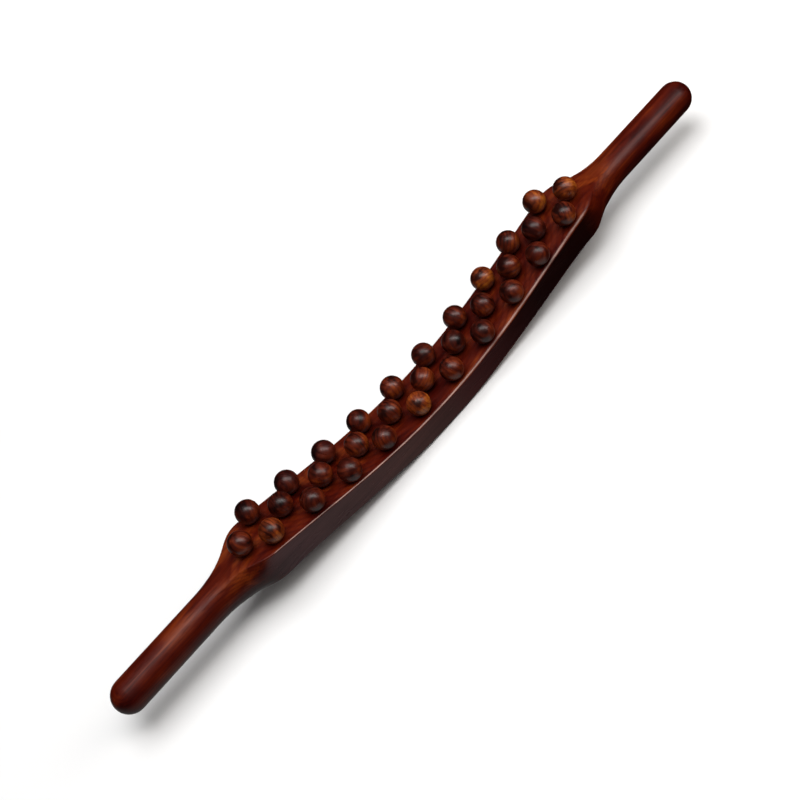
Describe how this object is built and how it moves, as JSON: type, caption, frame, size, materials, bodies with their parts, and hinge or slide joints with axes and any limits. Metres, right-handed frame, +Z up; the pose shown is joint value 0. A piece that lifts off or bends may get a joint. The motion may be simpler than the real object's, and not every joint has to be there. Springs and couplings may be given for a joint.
{
  "type": "massage stick",
  "caption": "Curved two-handled wooden massage stick with three staggered rows of fixed ball beads along its concave face.",
  "frame": {"origin": "middle of the stick in length and width, at the lowest point of the convex belly it lies on", "axes": "+X along the stick, +Y across it to the rear, +Z up, out of the concave beaded face"},
  "size_m": [0.52, 0.0423, 0.0533],
  "materials": {
    "stained_body": "dark red-brown stain under satin lacquer",
    "stained_bead": "dark red-brown stain under satin lacquer, each bead with its own tone",
    "dowel_wood": "plain unfinished hardwood"
  },
  "bodies": {
    "root": {"carved_body": "stained_body", "rear_bead_01": "stained_bead", "rear_bead_02": "stained_bead", "rear_bead_03": "stained_bead", "rear_bead_04": "stained_bead", "rear_bead_05": "stained_bead", "rear_bead_06": "stained_bead", "rear_bead_07": "stained_bead", "rear_bead_08": "stained_bead", "rear_bead_09": "stained_bead", "rear_bead_10": "stained_bead", "centre_bead_01": "stained_bead", "centre_bead_02": "stained_bead", "centre_bead_03": "stained_bead", "centre_bead_04": "stained_bead", "centre_bead_05": "stained_bead", "centre_bead_06": "stained_bead", "centre_bead_07": "stained_bead", "centre_bead_08": "stained_bead", "centre_bead_09": "stained_bead", "centre_bead_10": "stained_bead", "centre_bead_11": "stained_bead", "front_bead_01": "stained_bead", "front_bead_02": "stained_bead", "front_bead_03": "stained_bead", "front_bead_04": "stained_bead", "front_bead_05": "stained_bead", "front_bead_06": "stained_bead", "front_bead_07": "stained_bead", "front_bead_08": "stained_bead", "front_bead_09": "stained_bead", "front_bead_10": "stained_bead", "rear_row_dowels": "dowel_wood", "centre_row_dowels": "dowel_wood", "front_row_dowels": "dowel_wood"}
  },
  "joints": []
}
